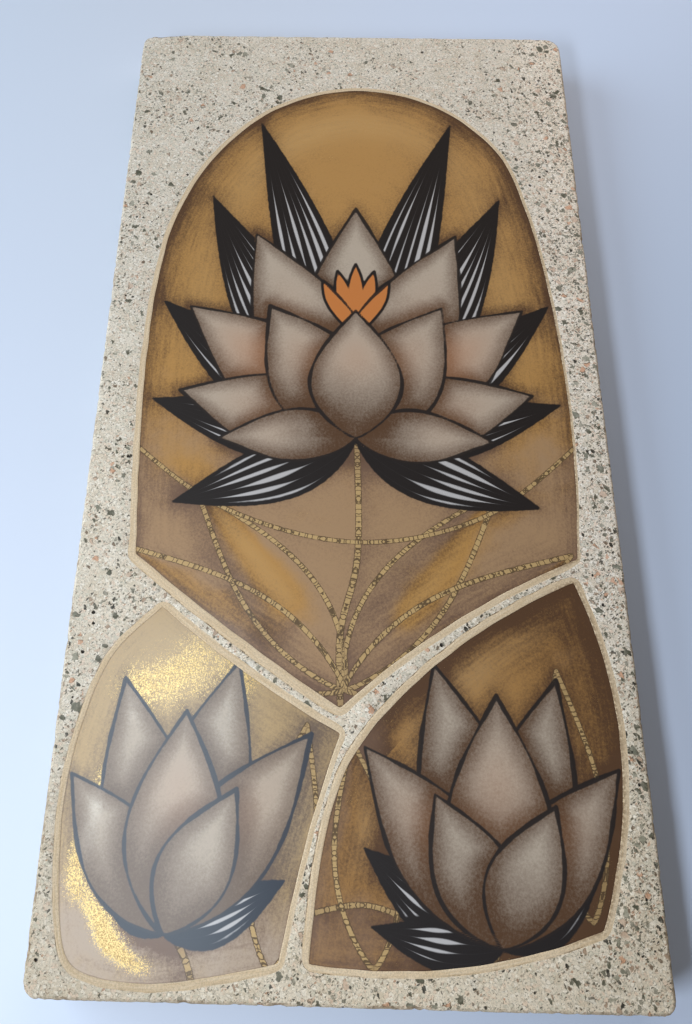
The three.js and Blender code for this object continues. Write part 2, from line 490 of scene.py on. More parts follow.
def sink_holes(shell, holes, rng):
    """Air holes of seeded size: a wavering mouth, a narrower floor below it and a deeper middle.

    Gives the points of the mouths and their numbers.
    """
    radius = 0.3 + 0.75 * rng.uniform(0.0, 1.0, len(holes)) ** 2.2
    turn = np.linspace(0.0, 2 * np.pi, HOLE_SIDES + 1)[:-1] + rng.uniform(0.0, 1.0, (len(holes), 1))
    wobble = radius[:, None] * rng.uniform(0.8, 1.15, turn.shape)
    spokes = np.stack([np.cos(turn), np.sin(turn)], axis=2) * wobble[..., None]
    mouths, floors = ((holes[:, None] + spokes * share).reshape(-1, 2) for share in (1.0, 0.72))
    mouth = shell.add(flat(mouths, FRONT)).reshape(-1, HOLE_SIDES)
    floor = shell.add(flat(floors, FRONT + np.repeat(radius, HOLE_SIDES) * 0.9), pit=1.0)
    floor = floor.reshape(-1, HOLE_SIDES)
    middle = shell.add(flat(holes, FRONT + radius * 1.15), pit=1.0)
    next_mouth, next_floor = np.roll(mouth, -1, axis=1), np.roll(floor, -1, axis=1)
    walls = np.stack([mouth, next_mouth, next_floor, floor], axis=2)
    fans = np.stack([floor, next_floor, np.broadcast_to(middle[:, None], floor.shape)], axis=2)
    shell.faces.extend(walls.reshape(-1, 4).tolist() + fans.reshape(-1, 3).tolist())
    return mouths, mouth.ravel()


def slab_face(shell, outer, rims, settings, seed=11):
    """The ground face: the sheet between the slab's edge and the rims, with round air holes sunk in it.

    It is a Delaunay net of those loops, the mouths of the holes, two rows of points beside the edge
    and seeded points between them, without the triangles inside a hole or a rim.
    """
    tries, border_gap, holes_apart = 4000, 1.8, 4.0
    brink_insets, brink_spacing, brink_gap = (3.0, 4.8), 2.4, 1.1
    knot_to_hole, knot_to_brink, brink_to_hole = 2.6, 2.0, 1.6
    so_far = np.concatenate(shell.points)[:, [0, 2]]
    loops = [so_far[ring] for ring in (outer, *rims)]
    borders = np.concatenate(loops)
    rng = np.random.default_rng(seed)
    spots = rng.uniform(SLAB_LOW[[0, 2]], SLAB_HIGH[[0, 2]], (tries, 2))
    free = inside_loop(spots, loops[0]) & (nearest(spots, borders) > border_gap)
    for loop in loops[1:]:
        free &= ~inside_loop(spots, loop)
    spots = spots[free]
    ignore_later = np.triu(np.full((len(spots),) * 2, 99.0))
    apart = np.linalg.norm(spots[:, None] - spots[None], axis=2) + ignore_later
    holes = spots[apart.min(axis=1) > holes_apart][:settings.pits]
    radii = np.array(settings.corner_radii) / MM
    brink = [rounded_ring(radii, inset, brink_spacing)[::2] for inset in brink_insets]
    brink = [ring[nearest(ring, borders) > brink_gap] for ring in brink]
    clear = nearest(spots, np.concatenate(brink)) > knot_to_brink
    knots = spots[clear & (nearest(spots, holes) > knot_to_hole)]
    brink = [ring[nearest(ring, holes) > brink_to_hole] for ring in brink]
    mouths, mouth = sink_holes(shell, holes, rng)
    inner = [shell.add(flat(knots, FRONT)), shell.add(flat(brink[0], FRONT), bare=0.04)]
    inner.append(shell.add(flat(brink[1], FRONT)))
    numbers = np.concatenate([outer, *rims, mouth, *inner])
    sheet = np.concatenate([*loops, mouths, knots, *brink])
    sizes = [len(loop) for loop in loops] + [HOLE_SIDES] * len(holes)
    edges, start = [], 0
    for size in sizes:
        ring = np.arange(start, start + size)
        edges.append(np.stack([ring, np.roll(ring, -1)], axis=1))
        start += size
    net = delaunay_2d_cdt([Vector(p) for p in sheet], np.concatenate(edges).tolist(), [], 1, 1e-5)
    came_from = np.array([sources[0] for sources in net[3]])
    triangles = came_from[np.array(net[2])]
    ring_of = np.full(len(sheet), -1)
    ring_of[:start] = np.repeat(np.arange(len(sizes)), sizes)
    owner = ring_of[triangles]
    drop = (owner == owner[:, :1]).all(axis=1) & (owner[:, 0] >= len(loops))
    middles = sheet[triangles].mean(axis=1)
    for loop in loops[1:]:
        drop |= inside_loop(middles, loop)
    shell.faces.extend(numbers[triangles[~drop]].tolist())


# The painted tiles


def tile_grid(name, lap, spacing):
    """A tile's face as rows from foot to crown, each running from the left edge to the right edge."""
    loop, _, _ = picture_loop(name, 1.0)
    loop = offset_loop(loop, np.full(len(loop), lap))
    loop = np.roll(loop, -int(loop[:, 1].argmin()), axis=0)
    crown = int(loop[:, 1].argmax())
    right, left = loop[: crown + 1], np.concatenate([loop[:1], loop[:crown - 1:-1]])
    low, high = loop[:, 1].min(), loop[:, 1].max()
    rows = np.linspace(low, high, int((high - low) / spacing) + 1)
    ends = spacing * np.array([0.02, 0.12, 0.35])
    rows = np.concatenate([low + ends, rows[1:-1], high - ends[::-1]])
    x_left, x_right = (
        np.interp(rows, np.maximum.accumulate(chain[:, 1]), chain[:, 0]) for chain in (left, right)
    )
    across = np.linspace(0.0, 1.0, int((x_right - x_left).max() / spacing) + 1)
    x = x_left[:, None] + (x_right - x_left)[:, None] * across
    return x, np.broadcast_to(rows[:, None], x.shape)


def turned(x, z, root, lean):
    """Places seen from a root, along a line that leans from the upright and to the right of it."""
    sine, cosine = math.sin(math.radians(lean)), math.cos(math.radians(lean))
    right, up = x - root[0], z - root[1]
    return right * sine + up * cosine, right * cosine - up * sine


def petal(x, z, root, lean, length, width, bend=0.0, belly=0.8):
    """A pointed petal from a root, leaning from the upright: its half width is a sine along its length.

    Gives the signed distance to its edge, the share of its length and the share of its half width.
    """
    along, side = turned(x, z, root, lean)
    u = np.clip(along / length, 1e-4, 1.0)
    side = side - bend * u * u
    half = width / 2 * np.sin(np.pi * u**belly)
    slope = width / 2 * np.pi * belly * u ** (belly - 1) * np.cos(np.pi * u**belly) / length
    beyond = np.maximum(np.maximum(-along, along - length), 0.0)
    edge = (np.abs(side) - half) / np.sqrt(1 + slope**2)
    distance = np.where(beyond > 0, np.hypot(side, beyond), edge)
    return distance, u, np.clip(side / np.maximum(half, 0.05), -1.5, 1.5)


def stroke(x, z, points):
    """A curved line through its points: signed distance to it, and the run along it, in mm."""
    line = evenly(side_points(points[0], {"through": points[1:-1], "to": points[-1]}), LINE_STEP)
    ahead = np.roll(line, -1, axis=0) - line
    ahead[-1] = ahead[-2]
    ahead /= np.linalg.norm(ahead, axis=1, keepdims=True)
    grid = np.stack([x.ravel(), z.ravel()], axis=1)
    near = nearest_index(grid, line)
    away = grid - line[near]
    tangent = ahead[near]
    across = away[:, 0] * tangent[:, 1] - away[:, 1] * tangent[:, 0]
    tip = (near == 0) | (near == len(line) - 1)
    across = np.where(tip, np.copysign(np.hypot(*away.T), across), across)
    run = near * LINE_STEP + (away * tangent).sum(axis=1)
    return across.reshape(x.shape), run.reshape(x.shape)


def laid_over(distance, older):
    """The signed distance of a shape laid over older ones: its own inside it, the nearer edge outside."""
    return np.where(distance < 0, distance, np.copysign(np.minimum(np.abs(older), distance), older))


class Painting:
    """The paint on one tile as fields in mm over its face, laid on from back to front."""

    def __init__(self, name, x, z):
        self.x, self.z = x, z
        grid = np.stack([x.ravel(), z.ravel()], axis=1)
        self.border = depth_inside(grid, picture_loop(name, 2.0)[0]).reshape(x.shape)
        self.shade = 0.6 * fade(self.border, 8.0)
        self.glow, self.leaf, self.blush, self.tone, self.stripe, self.reach = np.zeros((6, *x.shape))
        self.dark, self.pale, self.accent = np.full((3, *x.shape), FAR)
        self.lines = {
            family: [np.full_like(x, FAR), np.zeros_like(x), np.ones_like(x)] for family in ("band", "cross")
        }
        self.leaves = 0

    def lay_line(self, family, distance, run, half):
        """Lets a gold line take over its family's fields where it is nearer than the lines before it."""
        field = self.lines[family]
        nearer = distance - half < field[0] - field[2]
        for k, value in enumerate((distance, run, half)):
            field[k] = np.where(nearer, value, field[k])

    def lay_band(self, points, half, family="band", lee=0.4):
        """A crackled gold line, with airbrushed shade on its lee side."""
        across, run = stroke(self.x, self.z, points)
        self.lay_line(family, np.abs(across), run, half)
        self.shade += lee * fade(across - half, 8.0) * (across > -half)

    def lay_outline(self, root, lean, length, width, bend=0.0, half=1.2, family="band", glow=0.5):
        """A leaf drawn by a crackled gold line round its edge, with a lit middle and shade outside."""
        distance, u, v = petal(self.x, self.z, root, lean, length, width, bend)
        self.lay_line(family, np.abs(distance), u * length + 300 * (v > 0), half)
        within = step(-distance, 0.0, 1.0)
        self.glow += within * glow * bell(v - 0.2, 0.5) * step(u, 0.1, 0.5)
        self.shade += within * 0.2 * step(v, 0.3, -0.9) + 0.14 * fade(distance, 7.0) * (distance > 0)

    def lay_fold(self, points, wide, light):
        """A soft fold in the ground along a line: lit on one side and shaded on the other."""
        across, run = stroke(self.x, self.z, points)
        ends = step(run, 0.0, 30.0) * step(run.max() - run, 0.0, 30.0)
        self.glow += ends * light * bell(across, wide)
        self.shade += ends * light * 0.55 * bell(across - 1.5 * wide, wide)

    def lay_gilding(self, x, z, lean, length, width, power=1.0):
        """A rubbed streak of leaf gold."""
        along, side = turned(self.x, self.z, (x, z), lean)
        self.leaf += power * np.exp(-((along / length) ** 4) - (side / width) ** 2)

    def lay_leaf(self, root, lean, length, width, bend=0.0, strokes=5):
        """A dark leaf with pale strokes that run along it."""
        distance, u, v = petal(self.x, self.z, root, lean, length, width, bend)
        within = distance < 0
        self.leaves += 1
        self.dark = laid_over(distance, self.dark)
        self.stripe = np.where(within, v * strokes / 2 + 20 * self.leaves, self.stripe)
        self.reach = np.where(within, u, self.reach)
        self.shade += 0.35 * fade(distance, 6.0)

    def lay_petal(self, root, lean, length, width, bend=0.0, blush=0.0, light=1.0):
        """A pale petal, shaded towards its root and edges, that throws a soft shade on what it covers."""
        distance, u, v = petal(self.x, self.z, root, lean, length, width, bend)
        within = distance < 0
        own = light * (0.22 + 0.78 * step(u, 0.05, 0.75)) * (1 - 0.28 * np.abs(v - 0.15) ** 2.5)
        self.tone = np.where(within, own, self.tone * (1 - 0.62 * fade(distance, 6.0)))
        self.blush = np.where(within, blush * bell(u - 0.62, 0.2) * bell(v, 0.7), self.blush)
        self.pale = laid_over(distance, self.pale)
        self.shade += 0.12 * fade(distance, 7.0)
        self.dark = np.where(within, np.maximum(self.dark, 6.0), self.dark)
        self.accent = np.where(within, np.maximum(self.accent, -distance), self.accent)

    def lay_stamen(self, root, lean, length, width):
        """A small orange drop."""
        distance, _, _ = petal(self.x, self.z, root, lean, length, width, 0.0, 1.5)
        self.accent = np.minimum(self.accent, distance)

    def fields(self):
        """The fields by attribute name, three values to a point."""
        fields = {
            "ground_paint": (np.clip(self.shade, 0, 1.2), self.glow, self.leaf),
            "dark_paint": (self.dark, self.stripe, self.reach),
            "pale_paint": (self.pale, self.tone, self.blush),
            "band_paint": self.lines["band"],
            "cross_paint": self.lines["cross"],
            "accent_paint": (self.accent, self.border, np.zeros_like(self.x)),
        }
        return {name: np.stack([v.ravel() for v in values], axis=1) for name, values in fields.items()}


def paint_upper(p):
    """A tall open blossom among dark leaves, over gold leaf outlines that rise from the pointed foot."""
    root, foot = (3.0, -14.0), (-2.0, -132.0)
    angle = np.arctan2(p.x - root[0], p.z - root[1])
    far = np.hypot(p.x - root[0], p.z - root[1])
    rays = 0.5 + 0.5 * np.cos(5 * angle + 0.8 * np.sin(2 * angle + 1))
    above = step(p.z, 0, 90)
    p.shade += above * (0.1 * (1 - rays) * step(far, 60, 150) + 0.3 * fade(p.border, 10.0))
    p.glow += above * bell(p.border - 25, 11) * (0.35 + 0.55 * rays) - 0.9 * step(p.z, 30, -70)
    p.lay_fold([(-96, -20), (-70, -36), (-52, -66), (-30, -96)], 8.0, 0.7)
    p.lay_fold([(98, -40), (70, -52), (50, -76), (26, -100)], 8.0, 0.6)
    p.lay_outline(foot, -63, 116, 34, 10, 1.1, "cross", 0.8)
    p.lay_outline(foot, 64, 120, 34, -10, 1.1, "cross", 0.7)
    p.lay_outline(foot, -33, 112, 32, -10, 1.1, "band", 0.8)
    p.lay_outline(foot, 33, 116, 32, 10, 1.1, "band", 0.7)
    p.lay_band([(-2.3, -156), (-4, -110), (4, -70), (3, 0)], 1.4)
    p.lay_band([(-110, -14), (-60, -50), (3, -66), (64, -52), (116, -10)], 1.0, "cross", 0.25)
    for side in (-1, 1):
        for lean, length, width, bend, strokes in (
            (12, 202, 34, 12, 7), (35, 162, 40, -18, 8), (60, 124, 36, -16, 7),
            (88, 101, 32, -16, 7), (119, 92, 30, -12, 6),
        ):
            p.lay_leaf(root, side * lean, length, width, side * bend, strokes)
    p.lay_petal(root, 0, 136, 58, 0)
    for lean, length, width, bend, blush in (
        (22, 130, 54, 5, 0.2), (45, 112, 50, 9, 0.8), (68, 90, 42, 10, 0.3),
    ):
        for side in (-1, 1):
            p.lay_petal(root, side * lean, length, width, side * bend, blush)
    for lean in (-26, 26, -13, 13, 0):
        p.lay_stamen((root[0], 40.0), lean, 46 - abs(lean) * 0.25, 8)
    for side in (-1, 1):
        p.lay_petal(root, side * 29, 86, 48, side * 3, 0.4, 0.95)
        p.lay_petal(root, side * 84, 66, 28, side * 8, 0.2, 0.9)
    p.lay_petal(root, 0, 72, 46, 0, 0.5)


def paint_lower_right(p):
    """A half-open bud on a gold stem, in deep shade to the right."""
    root = (60.0, -228.0)
    p.shade += 0.4 * step(p.x, 50, 112) + 0.25 * step(p.z, -150, -90) * step(p.x, 20, 90)
    p.glow += 0.6 * bell(p.x - 52, 22) * bell(p.z + 128, 18) - 0.5 * step(p.x, 50, 0)
    p.lay_fold([(100, -96), (70, -112), (44, -130), (24, -150)], 7.0, 0.8)
    p.lay_fold([(-8, -222), (6, -190), (22, -166), (40, -146)], 7.0, 0.7)
    p.lay_outline((10, -236), -2, 84, 26, -6, 1.0, "cross", 0.8)
    p.lay_outline((96, -218), -6, 96, 24, 4, 1.0, "cross", 0.6)
    p.lay_band([(60, -222), (56, -234), (48, -258)], 1.4)
    p.lay_band([(-24, -220), (6, -214), (34, -222), (60, -227)], 1.0)
    for leaf in ((-70, 62, 24, 14, 6), (60, 54, 22, -8, 6), (-94, 50, 18, 10, 5)):
        p.lay_leaf(root, *leaf)
    for lean, length, width, bend, blush in (
        (-10, 110, 42, -4, 0.0), (14, 106, 40, 4, 0.0), (-31, 90, 38, -8, 0.3), (33, 84, 36, 8, 0.2),
        (2, 95, 44, 0, 0.4), (-20, 60, 32, -4, 0.0), (22, 57, 30, 4, 0.0),
    ):
        p.lay_petal(root, lean, length, width, bend, blush, 0.85)


def paint_lower_left(p):
    """An open blossom leaning right, with leaf gold rubbed into the ground beside it."""
    root = (-72.0, -226.0)
    p.shade *= 0.2
    p.shade += 0.35 * step(p.x, -46, -5)
    p.glow += 0.4 * bell(p.x + 70, 30) * bell(p.z + 128, 24) - 0.6 * step(p.z, -170, -235)
    for streak in (
        (-74, -126, 60, 34, 14, 0.62), (-50, -140, 20, 30, 9, 0.5), (-106, -190, 12, 26, 5, 0.7),
        (-97, -222, -40, 16, 5, 0.75), (-88, -233, -62, 14, 4, 0.65),
    ):
        p.lay_gilding(*streak)
    p.lay_outline((-30, -238), 4, 92, 26, 6, 1.0, "cross", 0.6)
    p.lay_band([(-72, -221), (-62, -236), (-56, -258)], 1.3)
    for leaf in ((76, 50, 20, -8, 6), (-60, 38, 15, 8, 5)):
        p.lay_leaf(root, *leaf)
    for shape in (
        (12, 108, 40, 2, 0.0), (-12, 100, 38, -4, 0.0), (33, 94, 38, 6, 0.2), (-32, 72, 32, -6, 0.0),
        (2, 84, 40, 0, 0.3), (22, 59, 30, 4, 0.0),
    ):
        p.lay_petal(root, *shape)


PAINTERS = {
    "upper_tile": paint_upper, "lower_left_tile": paint_lower_left, "lower_right_tile": paint_lower_right,
}


def tile_object(name, lap, spacing, material):
    """A closed tile: its painted face as a grid, a wall round its edge and a flat back."""
    x, z = tile_grid(name, lap, spacing)
    number = np.arange(x.size).reshape(x.shape)
    quads = np.stack([number[:-1, :-1], number[:-1, 1:], number[1:, 1:], number[1:, :-1]], axis=2)
    border = np.concatenate([number[0, :-1], number[:-1, -1], number[-1, :0:-1], number[:0:-1, 0]])
    front = np.stack([x.ravel(), np.full(x.size, TILE_FACE), z.ravel()], axis=1)
    behind = front[border] * (1, 0, 1) + (0, TILE_BACK, 0)
    ring = np.arange(len(border)) + x.size
    wall = np.stack([border, ring, np.roll(ring, -1), np.roll(border, -1)], axis=1)
    faces = quads.reshape(-1, 4).tolist() + wall.tolist() + [ring[::-1].tolist()]
    painting = Painting(name, x, z)
    PAINTERS[name](painting)
    fields = {key: np.concatenate([paint, paint[border]]) for key, paint in painting.fields().items()}
    fields["accent_paint"][x.size:, 2] = 1.0  # the unglazed body
    return mesh_object(name + "_painted", np.concatenate([front, behind]), faces, fields, material)


# Finishes

# Colours of the stone chips, each with the share of the chips at which it begins. None is the matrix.
GRAINS = (
    (0.0, (0.75, 0.62, 0.50)), (0.15, (0.83, 0.775, 0.68)), (0.42, None), (0.7, (0.645, 0.61, 0.51)),
    (0.86, (0.77, 0.675, 0.555)),
)
FLECKS = (
    (0.0, (0.04, 0.034, 0.026)), (0.2, (0.13, 0.115, 0.08)), (0.45, (0.30, 0.235, 0.17)),
    (0.65, (0.24, 0.225, 0.165)), (0.84, (0.52, 0.33, 0.225)),
)
MIDDLES = (
    (0.0, (0.04, 0.037, 0.028)), (0.2, (0.12, 0.117, 0.082)), (0.4, (0.40, 0.29, 0.21)),
    (0.54, (0.33, 0.31, 0.25)), (0.74, (0.70, 0.66, 0.57)), (0.88, (0.19, 0.135, 0.09)),
)
LARGES = (
    (0.0, (0.095, 0.095, 0.065)), (0.26, (0.19, 0.19, 0.145)), (0.5, (0.60, 0.35, 0.225)),
    (0.62, (0.58, 0.44, 0.335)), (0.76, (0.31, 0.30, 0.235)), (0.9, (0.70, 0.66, 0.58)),
)
# Layers of chips: colours, turn, stretch, size in mm, share of the cells, gap to their edges, seed
CHIP_LAYERS = (
    (GRAINS, (0.5, -1.2, 0.1), 1.3, 1.35, 0.93, -0.04, 83.0),
    (FLECKS, (0.3, 0.9, 0.0), 1.9, 0.8, 0.16, 0.04, 7.0),
    (MIDDLES, (0.2, -0.5, 0.3), 1.35, 1.7, 0.16, 0.05, 31.0),
    (LARGES, (0.5, -1.2, 0.1), 1.3, 3.2, 0.16, 0.06, 57.0),
)
CHIP_RIM = (0.12, 0.1, 0.07)
EDGE_STAIN = (0.16, 0.085, 0.035)
HOLE_SHADE = (0.035, 0.028, 0.022)
CRACK_DARK = (0.06, 0.032, 0.016)
LEAF_GOLD = ((0.40, 0.22, 0.06), (0.92, 0.65, 0.26))
STROKE_PALE = (0.60, 0.59, 0.61)
PETAL_BLUSH = (0.56, 0.27, 0.14)
TILE_BODY = (0.55, 0.45, 0.35)
PAINTS = ("Ochre", "Dun", "Umber", "Mauve", "Pale", "Ink", "Gold", "Accent")
TILE_PAINTS = {
    "upper_tile": {},
    # Partly the tile's own paint and partly a painted reflection: lighter, greyer and bluer where glare
    # washes the glaze
    "lower_left_tile": {
        "Ochre": (0.50, 0.35, 0.18), "Dun": (0.46, 0.36, 0.28), "Umber": (0.17, 0.12, 0.09),
        "Ink": (0.04, 0.05, 0.07),
    },
    "lower_right_tile": {"Ochre": (0.40, 0.21, 0.065), "Dun": (0.34, 0.2, 0.1)},
}


class Wire:
    """A node's output. Sums, differences, products and quotients of wires are Math nodes."""

    def __init__(self, board, socket):
        self.board, self.socket = board, socket

    def __add__(self, other):
        return self.board.math("ADD", self, other)

    def __sub__(self, other):
        return self.board.math("SUBTRACT", self, other)

    def __mul__(self, other):
        return self.board.math("MULTIPLY", self, other)

    def __truediv__(self, other):
        return self.board.math("DIVIDE", self, other)


class Board:
    """Places the nodes of one tree and joins them up."""

    def __init__(self, tree):
        self.tree = tree
        tree.nodes.clear()

    def node(self, kind, inputs=None, **settings):
        """A new node with its settings and inputs, set out in rows of twelve."""
        node = self.tree.nodes.new(kind)
        node.location = (190 * (len(self.tree.nodes) % 12), -220 * (len(self.tree.nodes) // 12))
        for key, value in settings.items():
            setattr(node, key, value)
        for key, value in (inputs or {}).items():
            self.feed(node.inputs[key], value)
        return node

    def feed(self, socket, value):
        """Links a wire to a socket, or sets a plain value on it."""
        if isinstance(value, Wire):
            self.tree.links.new(value.socket, socket)
        else:
            socket.default_value = (*value, 1.0) if socket.type == "RGBA" else value

    def out(self, kind, inputs=None, output=0, **settings):
        """One output of a new node."""
        return Wire(self, self.node(kind, inputs, **settings).outputs[output])

    def math(self, operation, *values, clamp=False):
        return self.out("ShaderNodeMath", dict(enumerate(values)), operation=operation, use_clamp=clamp)

    def vector(self, operation, first, second):
        key = "Scale" if operation == "SCALE" else 1
        return self.out("ShaderNodeVectorMath", {0: first, key: second}, operation=operation)

    def blend(self, share, first, second, mode="MIX"):
        """Two colours blended by a share."""
        inputs = {0: share, 6: first, 7: second}
        return self.out("ShaderNodeMix", inputs, 2, data_type="RGBA", blend_type=mode)

    def level(self, share, first, second):
        """Two values blended by a share."""
        return self.out("ShaderNodeMix", {0: share, 2: first, 3: second}, data_type="FLOAT")

    def step(self, value, low, high, start=0.0, end=1.0, kind="SMOOTHSTEP"):
        """A step from start at low to end at high."""
        inputs = dict(enumerate((value, low, high, start, end)))
        return self.out("ShaderNodeMapRange", inputs, interpolation_type=kind)

    def noise(self, at, scale, detail=2.0, roughness=0.5, output=0):
        inputs = {"Vector": at, "Scale": scale, "Detail": detail, "Roughness": roughness}
        return self.out("ShaderNodeTexNoise", inputs, output)

    def cells(self, at, scale):
        """A colour of its own for each cell of a Voronoi pattern."""
        return self.out("ShaderNodeTexVoronoi", {"Vector": at, "Scale": scale}, "Color")

    def cell_edge(self, at, scale):
        """Distance to the edge of the cell."""
        inputs = {"Vector": at, "Scale": scale}
        return self.out("ShaderNodeTexVoronoi", inputs, "Distance", feature="DISTANCE_TO_EDGE")

    def parts(self, vector):
        return [Wire(self, socket) for socket in self.node("ShaderNodeSeparateXYZ", {0: vector}).outputs]

    def join(self, x, y, z=0.0):
        return self.out("ShaderNodeCombineXYZ", {0: x, 1: y, 2: z})

    def mask(self, name):
        """A field of one value to a point."""
        return self.out("ShaderNodeAttribute", output="Fac", attribute_name=name)

    def paint(self, name):
        """A field of three values to a point."""
        return self.out("ShaderNodeAttribute", output="Vector", attribute_name=name)

    def metres(self):
        """The piece's own coordinates."""
        return self.out("ShaderNodeTexCoord", output="Object")

    def millimetres(self):
        """The piece's own coordinates, in millimetres."""
        return self.vector("SCALE", self.metres(), 1000.0)

    def pick(self, value, colours):
        """A colour by the share that each one takes: a stepped ramp."""
        node = self.node("ShaderNodeValToRGB", {0: value})
        ramp = node.color_ramp
        ramp.interpolation = "CONSTANT"
        ramp.elements[0].color = (*colours[0][1], 1.0)
        ramp.elements.remove(ramp.elements[1])
        for place, colour in colours[1:]:
            ramp.elements.new(place).color = (*colour, 1.0)
        return Wire(self, node.outputs[0])

    def use(self, tree, **inputs):
        """The outputs of a node group by name."""
        node = self.node("ShaderNodeGroup", inputs, node_tree=tree)
        return {socket.name: Wire(self, socket) for socket in node.outputs}

    def surface(self, shader, inputs):
        """The shader that the material shows."""
        self.node("ShaderNodeOutputMaterial", {"Surface": self.out(shader, inputs)})


def new_material(name):
    """An empty material and its board."""
    material = bpy.data.materials.new(name)
    material.use_nodes = True
    return material, Board(material.node_tree)


def group(name, inputs, outputs):
    """A shader node group: its board, the wires that it is given and the sockets that it puts out."""
    tree = bpy.data.node_groups.new(name, "ShaderNodeTree")
    board = Board(tree)
    for direction, sockets in (("INPUT", inputs), ("OUTPUT", outputs)):
        for label, kind in sockets.items():
            tree.interface.new_socket(name=label, in_out=direction, socket_type="NodeSocket" + kind)
    given = board.node("NodeGroupInput").outputs
    return board, {label: Wire(board, given[label]) for label in inputs}, board.node("NodeGroupOutput").inputs


def chip_group():
    """Stone chips: cells of a 3D Voronoi pattern, some of them filled to a little short of their edges.

    A noise makes the edges ragged, and the seed moves the pattern. Some chips have a dark rim in part.
    """
    b, given, out = group(
        "stone chips", {"Place": "Vector", **dict.fromkeys(("Size", "Share", "Gap", "Seed"), "Float")},
        dict.fromkeys(("Chip", "Kind", "Shade", "Rim"), "Float"))
    scale = b.math("DIVIDE", 1.0, given["Size"])
    at = b.vector("ADD", given["Place"], b.join(given["Seed"], given["Seed"], given["Seed"]))
    ragged = b.vector("SUBTRACT", b.noise(at, scale * 3.0, 1.0, output="Color"), (0.5, 0.5, 0.5))
    at = b.vector("ADD", at, b.vector("SCALE", ragged, given["Size"] * 0.45))
    chance, kind, inset = b.parts(b.cells(at, scale))
    inward = b.cell_edge(at, scale) - (inset * 0.2 + given["Gap"])
    shade = b.noise(at, scale * 1.6)
    b.feed(out["Chip"], b.math("LESS_THAN", chance, given["Share"]) * b.step(inward, 0.0, 0.05))
    b.feed(out["Kind"], kind)
    b.feed(out["Shade"], shade)
    b.feed(out["Rim"], b.step(inward, 0.05, 0.16, 1.0, 0.0) * b.step(shade, 0.48, 0.58))
    return b.tree


def terrazzo_finish(settings):
    """Ground terrazzo: angular chips of four sizes in cream cement, with bare cement on rims, edges and back.

    Painted light tints the stone a little warmer towards the foot, cooler towards the crown and
    lighter and bluer in a patch at the right, and painted shade darkens the lower left corner.
    """
    material, b = new_material("terrazzo")
    matrix, cement = np.array(tuple(settings.matrix_colour)), np.array(tuple(settings.cement_colour))
    at, bare = b.millimetres(), b.mask("bare")
    x, _, z = b.parts(at)
    mottle = b.noise(at, 0.55, 4.0, 0.65)
    sand = b.noise(at, 1.3, 3.0, 0.85)
    cloud = b.step(b.noise(at, 0.09, 3.0, 0.55), 0.35, 0.65)
    colour = b.blend(cloud, matrix, matrix * (0.86, 0.83, 0.78))
    colour = b.blend(b.step(mottle, 0.5, 0.75, 0.0, 0.5), colour, matrix * (0.86, 0.80, 0.74))
    open_face = b.step(bare + (mottle * 0.5 - 0.25), 0.62, 0.3)
    crowd = b.step(b.noise(at, 0.035), 0.35, 0.65, 0.3, 1.55) + b.step(x, 88.0, 116.0, 0.0, 1.4)
    chips = chip_group()
    for colours, turn, stretch, size, share, gap, seed in CHIP_LAYERS:
        mapping = {"Vector": at, "Rotation": turn, "Scale": (1.0, 1.0, stretch)}
        place = b.out("ShaderNodeMapping", mapping, vector_type="TEXTURE")
        share = share if colours is GRAINS else crowd * share
        chip = b.use(chips, Place=place, Size=size, Share=share, Gap=gap, Seed=seed)
        tint = b.pick(chip["Kind"], [(start, stone or tuple(matrix)) for start, stone in colours])
        tint = b.blend(b.step(chip["Shade"], 0.6, 0.3, 0.0, 0.2), tint, matrix)
        tint = b.blend(chip["Rim"] * 0.9, tint, CHIP_RIM)
        colour = b.blend(chip["Chip"] * open_face, colour, tint)
    # Painted light: the stone is tinted warmer towards the foot, cooler towards the crown, and lighter and
    # bluer in a patch at the right
    tone = b.blend(b.step(z, -120.0, -235.0), (1.0, 1.0, 1.0), (0.95, 0.92, 0.87))
    tone = b.blend(b.step(z, -60.0, 120.0), tone, (1.0, 1.02, 1.06))
    tone = b.blend(b.step(x, 84.0, 112.0) * b.step(z, -150.0, -60.0), tone, (1.15, 1.16, 1.21))
    colour = b.blend(1.0, colour, tone, "MULTIPLY")
    along_x, _, along_z = b.parts(b.vector("SCALE", at, 0.07))
    strokes = b.noise(b.join(b.mask("from_tile") * 1.5, along_x, along_z), 1.0, 4.0, 0.7)
    skin = b.blend(b.step(strokes, 0.35, 0.65), cement, cement * (0.87, 0.82, 0.74))
    skin = b.blend(b.step(sand, 0.55, 0.75, 0.0, 0.3), skin, cement * 0.6)
    colour = b.blend(b.step(bare + (mottle * 0.4 - 0.2), 0.25, 0.85), colour, skin)
    stain = b.mask("stain") * b.step(b.noise(at, 0.7, 3.0), 0.3, 0.55)
    colour = b.blend(b.step(stain, 0.1, 0.9), colour, EDGE_STAIN)
    colour = b.blend(1.0, colour, b.step(sand, 0.25, 0.75, 0.66, 1.42, "LINEAR"), "MULTIPLY")
    # Painted shade: the stone darkens towards the lower left corner
    colour = b.blend(1.0, colour, b.step(x * 1.5 + z, -430.0, -190.0, 0.76, 1.0), "MULTIPLY")
    # Painted shade: the floors of the air holes are painted near black
    colour = b.blend(b.mask("pit"), colour, HOLE_SHADE)
    b.surface("ShaderNodeBsdfPrincipled", {
        "Base Color": colour,
        "Roughness": b.step(bare, 0.1, 0.9, 0.44, 0.75),
        "Normal": b.out("ShaderNodeBump", {"Strength": 0.25, "Distance": 0.0002, "Height": mottle}),
    })
    return material


